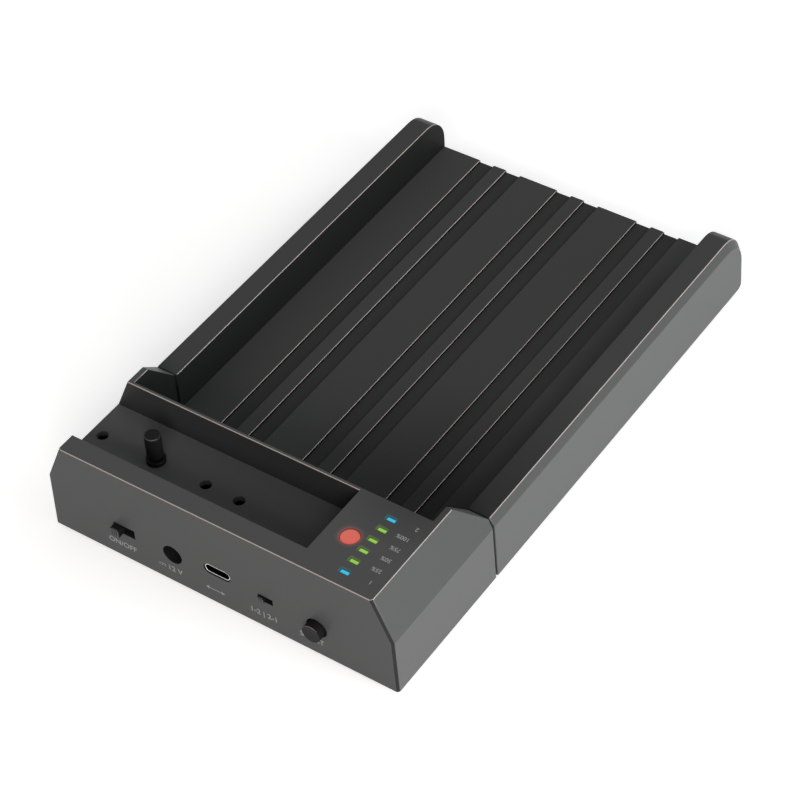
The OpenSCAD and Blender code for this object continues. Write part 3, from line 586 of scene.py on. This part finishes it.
class DOCK_OT_shells(bpy.types.Operator):
    """Front housing and drive tray: moulded shells with rounded edges"""

    bl_idname = "dock.shells"
    bl_label = "Shells"

    def execute(self, context):
        shell = context.scene.dock_shell
        lamps = context.scene.dock_lamp
        lines = (shell.streak_width, shell.streak_length)
        # The front and the lens holes' walls carry a painted glow around the lenses
        front, *parts = drawn_abs("Drawn ABS, front", shell.front_colour, *lines, 0.2)
        paint_lens_glow(*parts, lamps, PANEL_GLOW)
        rims, *parts = drawn_abs("Drawn ABS, lens holes", shell.inner_colour, *lines, 0.1)
        paint_lens_glow(*parts, lamps, RIM_GLOW)
        shiny = {"roughness": (0.36, 0.46), "shine": 0.5}
        # One plastic in lighter and darker copies, region by region, as painted light and shade
        finishes = {
            "front": front,
            "rims": rims,
            "channel": drawn_abs("Drawn ABS, channel floor", shell.channel_colour, *lines, 0.1)[0],
            "ridge": drawn_abs("Drawn ABS, channel walls", shell.ridge_colour, *lines, 0.1)[0],
            "inner": grained_abs("Grained ABS, inner walls", shell.inner_colour),
            # The edge finish is a painted highlight on the roundings
            "edge": grained_abs("Grained ABS, painted highlight", shell.edge_highlight_colour, shine=0.5),
            "strip": grained_abs("Grained ABS, corner strips", shell.strip_colour),
            "deck": grained_abs("Grained ABS, deck", shell.tray_colour),
            "side": grained_abs("Grained ABS, upper sides", shell.side_colour, **shiny),
            "lower": grained_abs("Grained ABS, lower sides", shell.lower_colour, **shiny),
            "groove": grained_abs("Grained ABS, grooves", shell.groove_colour),
            "dark": grained_abs("Grained ABS, groove walls", shell.dark_colour),
        }
        # Painted shade towards the corners of the deck, of the top panel's rear and of the channel
        for names, corner, share, far in PAINTED_SHADE_CORNERS:
            for name in names:
                paint_corner_shade(finishes[name], Vector(corner) * MM, share, far * MM)
        for piece, node, names in (
                ("front_shell", "front_housing", FRONT_FINISHES),
                ("tray_shell", "rear_tray", TRAY_FINISHES)):
            self.shell(piece, node, names, [finishes[name] for name in names], shell)
        return {"FINISHED"}

    def shell(self, piece, node, names, materials, settings):
        """Rounds the edges of one shell, long edges more than the rims of its small openings."""
        bm = merged_copy(node)
        groups = runs(exposed_edges(bm))
        self.part_regions(bm, node, names)
        large = [edge for group in groups if reach(group) > LONG_RUN for edge in group]
        small = [edge for group in groups if reach(group) <= LONG_RUN for edge in group]
        rounded = round_edges(bm, large, settings.edge_round, 3)
        long_edges = set(rounded)
        rounded += round_edges(bm, [edge for edge in small if edge.is_valid], settings.hole_round)
        rounded = [face for face in rounded if face.is_valid]
        mark_creases(bm, rounded)
        for vert in bm.verts:
            vert.co.z = min(vert.co.z, CAD_BOX[1][2] - INK_ROOM)
        # Paint a highlight on the long roundings that face up and right or front, away from the wings' ends
        # and the seam
        start, end = self.highlight_stretch(node)
        places = {face: face.calc_center_median().y for face in rounded}
        painted_highlight = [face for face, y in places.items() if start <= y <= end and face in long_edges]
        paint_edge_highlight(painted_highlight, names.index("edge"))
        make_piece(piece, bm, "dock", materials, [node])

    def highlight_stretch(self, node):
        """Where along Y a shell's edges get the painted highlight: not at the wings' ends nor beside the
        seam.
        """
        low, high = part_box(node)
        if node == "front_housing":
            return low.y, high.y - WING_END
        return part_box("front_housing")[1].y + SEAM_SIDE, high.y

    def part_regions(self, bm, node, names):
        """Gives each flat face of a shell the finish of the region that it lies in, whose tone is painted
        light and shade.
        """
        low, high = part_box(node)
        region = self.front_region if node == "front_housing" else self.tray_region
        for face in bm.faces:
            centre = face.calc_center_median()
            inside = abs(centre.x) < high.x - RAIL and centre.y > low.y + 1 * MM
            face.material_index = names.index(region(face, centre, inside, low, high))

    def front_region(self, face, centre, inside, low, high):
        """Name of the finish of a face of the front housing."""
        x, y, z = face.normal
        upright = abs(z) < UPRIGHT
        beside = abs(centre.y - middle("ssd_peg").y) < CHANNEL_HALF
        by_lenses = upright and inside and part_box("power_lens")[0].x - 1 * MM < centre.x < LENSES_END
        # Painted shade on the lens holes, the channel's walls, the inner and opening walls and the corner
        # strips; painted light on the channel's floor and the lower sides
        if by_lenses and max(v.co.z for v in face.verts) > high.z - 0.3 * MM:
            return "rims"
        if beside and inside and CHANNEL_LOW < centre.z < high.z - 1 * MM:
            return "ridge" if upright else "channel"
        if beside and upright and abs(centre.z - CHANNEL_LOW) < 2 * MM:
            return "channel"
        if upright and inside or self.opening_wall(face, centre, low):
            return "inner"
        if abs(x) > 0.6 and -0.8 < y < -0.6:
            return "strip"
        if y > 0.3 and z > 0.3 or abs(x) > STEEP:
            return "lower"
        return "side" if abs(x) > 0.6 else "front"

    def tray_region(self, face, centre, inside, low, high):
        """Name of the finish of a face of the tray."""
        x, y, z = face.normal
        # Painted shade on the walls inside the bay and in the grooves; the sides painted darker above the
        # crease and lighter below it
        if abs(z) < UPRIGHT and inside:
            return "dark" if centre.z < GROOVE_TOP + 0.4 * MM else "inner"
        if z > 0.9 and centre.z < GROOVE_TOP:
            return "groove"
        if not inside and z < STEEP:
            return "lower" if abs(x) > STEEP else "side"
        return "deck"

    def opening_wall(self, face, centre, low):
        """Tells whether a face is the wall of an opening in the front face."""
        level = abs(face.normal.y) < UPRIGHT
        near = 0.3 * MM < centre.y - low.y < 3 * MM
        return level and near and abs(centre.x) < 50 * MM and 4 * MM < centre.z < 25 * MM


class DOCK_OT_base(bpy.types.Operator):
    """Base cover, rubber feet and screws"""

    bl_idname = "dock.base"
    bl_label = "Base"

    def execute(self, context):
        small = context.scene.dock_shell.small_round
        cover = grained_abs("Grained ABS, base cover", linear("#262727"), 0.6 * MM, shine=0.3)
        make_piece("cover_plate", rounded_copy("base_cover", 2 * small), "dock", [cover],
                   ["base_cover"])
        rubber = moulded_rubber("Moulded rubber, feet", linear("#141414"))
        make_piece("foot_pads", self.feet(), "dock", [rubber], ["rubber_feet"])
        zinc = plated_metal("Zinc-plated steel", linear("#b9bcc0"), (0.22, 0.36))
        for node in ("front_screws", "tray_screws", "board_screws", "led_board_screws"):
            make_piece(f"{node}_plated", rounded_copy(node, 2 * small, 2), "dock", [zinc],
                       [node])
        return {"FINISHED"}

    def feet(self):
        """Feet with rounded rims and a shallow ring pressed into each sole."""
        bm = rounded_copy("rubber_feet", 0.5 * MM, 3, lambda edge, facing: facing.z < -0.3)
        soles = [face for face in bm.faces if face.normal.z < -0.9 and face.calc_area() > 40 * MM ** 2]
        for inset, depth in ((1.2, 0.3), (2.2, -0.3)):
            bmesh.ops.inset_individual(bm, faces=soles, thickness=inset * MM)
            bmesh.ops.inset_individual(bm, faces=soles, thickness=0.15 * MM)
            bmesh.ops.translate(
                bm, verts=list({v for face in soles for v in face.verts}), vec=(0, 0, depth * MM))
        return bm


class DOCK_OT_switches(bpy.types.Operator):
    """Slide switches and the clone button"""

    bl_idname = "dock.switches"
    bl_label = "Switches"

    def execute(self, context):
        small = context.scene.dock_shell.small_round
        knob = grained_abs("Moulded nylon, knobs", linear("#191a1a"), 0.3 * MM)
        # The knobs' grooved front faces are painted lighter than their dark tops and sides: painted light
        face = grained_abs("Moulded nylon, knob faces", linear("#555656"), 0.3 * MM)
        # The pale nylon is a painted highlight on the cap's rim
        painted_highlight = grained_abs("Moulded nylon, painted highlight", linear("#6d6663"), 0.3 * MM)
        for name, node, body in (
                ("power_knob_cap", "power_switch_knob", "power_knob"),
                ("direction_knob_cap", "direction_switch_knob", "direction_knob")):
            bm = rounded_copy(node, small)
            front = min(v.co.y for v in bm.verts)
            # Front faces take the lighter finish: painted light
            for flat in bm.faces:
                flat.material_index = int(flat.calc_center_median().y < front + KNOB_FACE)
            make_piece(name, bm, body, [knob, face], [node])
        # The cap's face is painted lighter than its dark sides: painted light
        cap_face = grained_abs("Moulded nylon, cap face", linear("#2a2b2b"), 0.3 * MM)
        make_piece("clone_cap", self.cap(), "clone_cap", [knob, painted_highlight, cap_face],
                   ["clone_button"])
        plunger = grained_abs("Moulded nylon, plunger", linear("#5b5d60"), 0.3 * MM, shine=0.4)
        make_piece("clone_stem", rounded_copy("clone_plunger", small), "clone_cap", [plunger],
                   ["clone_plunger"])
        can = plated_metal("Blackened steel, switch cans", linear("#2e2f30"), (0.4, 0.5))
        for node in ("power_switch_body", "direction_switch_body"):
            make_piece(f"{node}_can", rounded_copy(node, small), "dock", [can], [node])
        make_piece("clone_switch_case", rounded_copy("clone_switch_body", small), "dock", [knob],
                   ["clone_switch_body"])
        return {"FINISHED"}

    def cap(self):
        """Button cap with a rounded rim and a slightly hollow face."""
        # The front rim's roundings that face up take the painted highlight, in slot 1
        bm = rounded_copy("clone_button", 0.22 * MM, 3, lambda edge, facing: facing.y < -0.3, highlight_slot=1)
        face = min(bm.faces, key=lambda f: (round(f.calc_center_median().y, 5), -f.calc_area()))
        for inset in (0.5, 0.7, 0.8):
            bmesh.ops.inset_individual(bm, faces=[face], thickness=inset * MM)
            bmesh.ops.translate(bm, verts=face.verts, vec=(0, 0.05 * MM, 0))
        for flat in bm.faces:
            if flat.normal.y < -0.95:
                flat.material_index = 2
        return bm


class DOCK_OT_peg(bpy.types.Operator):
    """Rubber peg that holds the SSD module"""

    bl_idname = "dock.peg"
    bl_label = "Peg"

    def execute(self, context):
        rubber = moulded_rubber("Moulded rubber, peg", linear("#0f1010"))
        # A painted highlight on the front of the head's rounded rim
        painted_highlight = moulded_rubber("Moulded rubber, painted highlight", linear("#4a4644"))
        bm = rounded_copy("ssd_peg", 0.22 * MM, 2)
        top = max(v.co.z for v in bm.verts)
        for face in bm.faces:
            rim = face.calc_center_median().z > top - 1 * MM and 0.55 < face.normal.z < 0.85
            face.material_index = int(rim and face.normal.y < -0.2)
        make_piece("module_peg", bm, "peg", [rubber, painted_highlight], ["ssd_peg"])
        return {"FINISHED"}


class DOCK_OT_lenses(bpy.types.Operator):
    """Indicator lenses and windows, lit"""

    bl_idname = "dock.lenses"
    bl_label = "Lenses"

    def execute(self, context):
        lamps = context.scene.dock_lamp
        lenses = (
            ("round_lens", "power_lens", lamps.red, "red_lens", 0.3, 0.55),
            ("module_window", "ssd_lens", lamps.blue, "blue_lens", 0.15, 0.85),
            ("progress_windows", "progress_lenses", lamps.green, "green_lens", 0.15, 0.75),
            ("drive_window", "hdd_lens", lamps.blue, "blue_lens", 0.15, 0.85),
        )
        for name, node, colour, slot, width, lit in lenses:
            finish = lit_acrylic(f"Lit acrylic, {name}", colour, lit)
            bm = rounded_copy(node, width * MM, 2, lambda edge, facing: facing.z > 0.5)
            make_piece(name, bm, "dock", [finish], [node])
        finish_node("status_leds", lit_acrylic("Phosphor resin", linear("#e8e4c8"), 0.3))
        return {"FINISHED"}


class DOCK_OT_ports(bpy.types.Operator):
    """DC inlet, USB-C receptacle, M.2 socket and SATA receptacle"""

    bl_idname = "dock.ports"
    bl_label = "Ports"

    def execute(self, context):
        small = context.scene.dock_shell.small_round
        nylon = grained_abs("Moulded nylon, connectors", linear("#121313"), 0.3 * MM, shine=0.2)
        bright = plated_metal("Nickel-plated steel", linear("#fafafa"), (0.42, 0.52))
        gold = plated_metal("Gold-plated bronze", linear("#cfa64a"), (0.2, 0.3))
        for node in ("dc_jack_body", "usb_c_tongue", "m2_socket", "sata_receptacle"):
            make_piece(f"{node}_moulded", rounded_copy(node, small / 2), "dock", [nylon],
                       [node])
        make_piece("jack_pin", rounded_copy("dc_jack_pin", 4 * small, 3), "dock", [bright],
                   ["dc_jack_pin"])
        # The inside of the USB-C shell is painted dark: painted shade
        shade = plated_metal("Nickel-plated steel, painted shade inside", linear("#202122"), (0.42, 0.52))
        bm = rounded_copy("usb_c_shell", small / 2)
        axis = middle("usb_c_shell")
        for face in bm.faces:
            out = face.calc_center_median() - axis
            inward = face.normal.x * out.x + face.normal.z * out.z < 0
            face.material_index = int(inward and abs(face.normal.y) < 0.3)
        make_piece("port_shell", bm, "dock", [bright, shade], ["usb_c_shell"])
        finish_node("dc_jack_spring", bright)
        for node in ("usb_c_contacts", "m2_contacts", "sata_contacts", "header_pins"):
            finish_node(node, gold)
        return {"FINISHED"}


class DOCK_OT_boards(bpy.types.Operator):
    """Circuit boards and what is on them"""

    bl_idname = "dock.boards"
    bl_label = "Boards"

    def execute(self, context):
        mask = solder_mask("Solder mask on laminate", linear("#0d2016"))
        epoxy = grained_abs("Moulded epoxy, chips", linear("#1a1a1b"), 0.25 * MM, shine=0.4)
        ferrite = grained_abs("Moulded ferrite", linear("#3f4044"), 0.4 * MM, (0.5, 0.7), 0.4)
        can = plated_metal("Drawn aluminium", linear("#cfd1d3"), (0.25, 0.35))
        finishes = {
            mask: ("main_board", "led_board"),
            epoxy: ("board_header", "bridge_chips", "flash_chip", "regulators"),
            ferrite: ("inductors",),
            can: ("bulk_capacitors", "crystal"),
        }
        for material, nodes in finishes.items():
            for node in nodes:
                finish_node(node, material)
        return {"FINISHED"}


class DOCK_OT_marks(bpy.types.Operator):
    """Plain printed marks beside the switches, inlets and windows"""

    bl_idname = "dock.marks"
    bl_label = "Marks"

    def execute(self, context):
        marks = context.scene.dock_mark
        ink = screen_ink("Screen-printed ink", marks.ink)
        front_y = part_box("front_housing")[0].y
        top_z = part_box("front_housing")[1].z
        upright = Matrix.Rotation(math.radians(90), 4, "X")
        turned = Matrix.Rotation(math.radians(180), 4, "Z")
        bm = bmesh.new()
        for text, x in FRONT_MARKS:
            place = Matrix.Translation((x * MM, front_y, marks.row_height)) @ upright
            self.add_text(bm, text, marks.front_height, marks.thickness, place, "CENTER")
        place = Matrix.Translation((CURRENT_X, front_y, marks.row_height)) @ upright
        self.add_bars(bm, place, marks.thickness, DIRECT_CURRENT)
        place = Matrix.Translation((ARROW_X, front_y, marks.row_height)) @ upright
        self.add_arrow(bm, place, marks.thickness)
        make_piece("front_marks", bm, "dock", [ink])
        bm = bmesh.new()
        step = (middle("hdd_lens").y - middle("ssd_lens").y) / (len(TOP_MARKS) - 1)
        for i, text in enumerate(TOP_MARKS):
            y = middle("ssd_lens").y + i * step + 0.3 * MM
            place = Matrix.Translation((TOP_MARKS_X, y, top_z - 1.05 * marks.thickness)) @ turned
            self.add_text(bm, text, marks.top_height, marks.thickness, place, "LEFT")
        make_piece("top_marks", bm, "dock", [ink])
        return {"FINISHED"}

    def add_text(self, bm, text, height, thickness, place, align):
        """Adds a line of text as a thin mesh, aligned on its place."""
        curve = bpy.data.curves.new("mark", "FONT")
        curve.body = text
        curve.align_x = align
        curve.align_y = "CENTER"
        curve.size = height / CAPITAL
        curve.offset = 0.022 * height
        curve.extrude = thickness
        holder = bpy.data.objects.new("mark", curve)
        bpy.context.scene.collection.objects.link(holder)
        shape = bpy.data.meshes.new_from_object(
            holder.evaluated_get(bpy.context.evaluated_depsgraph_get()))
        shape.transform(place)
        bm.from_mesh(shape)
        bpy.data.objects.remove(holder)
        bpy.data.curves.remove(curve)
        bpy.data.meshes.remove(shape)

    def add_arrow(self, bm, place, thickness):
        """Adds a level arrow with a head at each end."""
        self.add_bars(bm, place, thickness, ((0, 0, 4.4),))
        for side in (-1, 1):
            head = place @ Matrix.Translation((side * 2.6 * MM, 0, 0))
            turn = Matrix.Rotation(math.radians(-90 * side), 4, "Z")
            bmesh.ops.create_cone(
                bm, cap_ends=True, segments=3, radius1=0.85 * MM, radius2=0.85 * MM, depth=2 * thickness,
                matrix=head @ turn)

    def add_bars(self, bm, place, thickness, bars):
        """Adds short level bars, each given by its centre and its length in millimetres."""
        for x, y, length in bars:
            size = Matrix.Diagonal((length * MM, 0.28 * MM, 2 * thickness, 1))
            bmesh.ops.create_cube(bm, size=1, matrix=place @ Matrix.Translation((x * MM, y * MM, 0)) @ size)


class DOCK_OT_stage(bpy.types.Operator):
    """Floor, studio light and camera"""

    bl_idname = "dock.stage"
    bl_label = "Stage"

    def execute(self, context):
        stage = context.scene.dock_stage
        context.scene.view_settings.view_transform = "Standard"
        self.floor(stage)
        self.room(context.scene, stage)
        for name, azimuth, elevation, distance, size, level, colour in LIGHTS:
            self.lamp(name, math.radians(azimuth), math.radians(elevation), distance, size, level, colour)
        self.camera(context.scene, stage)
        return {"FINISHED"}

    def floor(self, stage):
        """A plain pale floor that keeps the shadow and shows white to the eye and in reflections."""
        bm = bmesh.new()
        bmesh.ops.create_grid(bm, x_segments=1, y_segments=1, size=stage.floor_size / 2)
        mesh = bpy.data.meshes.new("Floor")
        bm.to_mesh(mesh)
        bm.free()
        paper = bpy.data.materials.new("Pale paper")
        paper.use_nodes = True
        tree = paper.node_tree
        tree.nodes.remove(tree.nodes["Principled BSDF"])
        path = add_node(tree, "ShaderNodeLightPath")
        seen = add_node(tree, "ShaderNodeMath", {
            0: path.outputs["Is Camera Ray"], 1: path.outputs["Is Transmission Ray"]}, operation="MAXIMUM")
        shown = add_node(tree, "ShaderNodeMath", {
            0: seen.outputs[0], 1: stage.floor_lift}, operation="MULTIPLY")
        lift = add_node(tree, "ShaderNodeMath", {
            0: path.outputs["Is Glossy Ray"], 1: stage.mirror_lift, 2: shown.outputs[0]},
            operation="MULTIPLY_ADD")
        glow = add_node(tree, "ShaderNodeEmission", {"Color": (1, 1, 1, 1), "Strength": lift.outputs[0]})
        matt = add_node(tree, "ShaderNodeBsdfDiffuse", {"Color": (*stage.floor_colour, 1)})
        both = add_node(tree, "ShaderNodeAddShader", {0: matt.outputs[0], 1: glow.outputs[0]})
        tree.links.new(both.outputs[0], tree.nodes["Material Output"].inputs["Surface"])
        mesh.materials.append(paper)
        made = bpy.data.objects.new("Floor", mesh)
        bpy.context.scene.collection.objects.link(made)

    def room(self, scene, stage):
        """Even light of a pale room."""
        world = bpy.data.worlds.new("Pale room")
        world.use_nodes = True
        sky = world.node_tree.nodes["Background"]
        sky.inputs["Color"].default_value = (*linear("#fafcfb"), 1)
        sky.inputs["Strength"].default_value = stage.world_level
        scene.world = world

    def lamp(self, name, azimuth, elevation, distance, size, level, colour):
        """A square soft light; level is the share of full light that it gives a face turned to it."""
        data = bpy.data.lights.new(name, "AREA")
        data.shape = "SQUARE"
        data.size = size
        data.color = linear(colour)
        data.energy = (math.pi * distance) ** 2 * level
        made = bpy.data.objects.new(name, data)
        towards = Vector((
            math.sin(azimuth) * math.cos(elevation), math.cos(azimuth) * math.cos(elevation),
            math.sin(elevation)))
        made.location = towards * distance
        made.rotation_euler = towards.to_track_quat("Z", "Y").to_euler()
        bpy.context.scene.collection.objects.link(made)

    def camera(self, scene, stage):
        """The photograph's view."""
        back = Vector((
            math.sin(stage.azimuth) * math.cos(stage.elevation),
            -math.cos(stage.azimuth) * math.cos(stage.elevation), math.sin(stage.elevation)))
        level = Vector((math.cos(stage.azimuth), math.sin(stage.azimuth), 0))
        rise = back.cross(level)
        right = level * math.cos(stage.roll) + rise * math.sin(stage.roll)
        up = back.cross(right)
        data = bpy.data.cameras.new("Photo view")
        data.lens = stage.lens
        data.clip_start = 0.01
        data.clip_end = 50
        made = bpy.data.objects.new("Photo view", data)
        turn = Matrix((right, up, back)).transposed().to_4x4()
        made.matrix_world = Matrix.Translation(Vector(stage.target) + back * stage.distance) @ turn
        scene.collection.objects.link(made)
        scene.camera = made


class DOCK_PT_panel(bpy.types.Panel):
    """Lists the dock's settings and pieces"""

    bl_idname = "DOCK_PT_panel"
    bl_label = "Docking station"
    bl_space_type = "VIEW_3D"
    bl_region_type = "UI"
    bl_category = "Dock"

    def draw(self, context):
        for settings in SETTINGS:
            group = getattr(context.scene, settings)
            for name in type(group).__annotations__:
                self.layout.prop(group, name)
        for operator in OPERATORS:
            self.layout.operator(operator.bl_idname)


SETTINGS = {
    "dock_shell": ShellSettings,
    "dock_lamp": LampSettings,
    "dock_mark": MarkSettings,
    "dock_stage": StageSettings,
}
OPERATORS = (
    DOCK_OT_shells, DOCK_OT_base, DOCK_OT_switches, DOCK_OT_peg, DOCK_OT_lenses, DOCK_OT_ports,
    DOCK_OT_boards, DOCK_OT_marks, DOCK_OT_stage,
)


def register():
    for made in (*SETTINGS.values(), *OPERATORS, DOCK_PT_panel):
        bpy.utils.register_class(made)
    for name, group in SETTINGS.items():
        setattr(bpy.types.Scene, name, PointerProperty(type=group))


def unregister():
    for name in SETTINGS:
        delattr(bpy.types.Scene, name)
    for made in reversed((*SETTINGS.values(), *OPERATORS, DOCK_PT_panel)):
        bpy.utils.unregister_class(made)


def main():
    register()
    for operator in OPERATORS:
        group, name = operator.bl_idname.split(".")
        getattr(getattr(bpy.ops, group), name)()


if __name__ == "__main__":
    main()
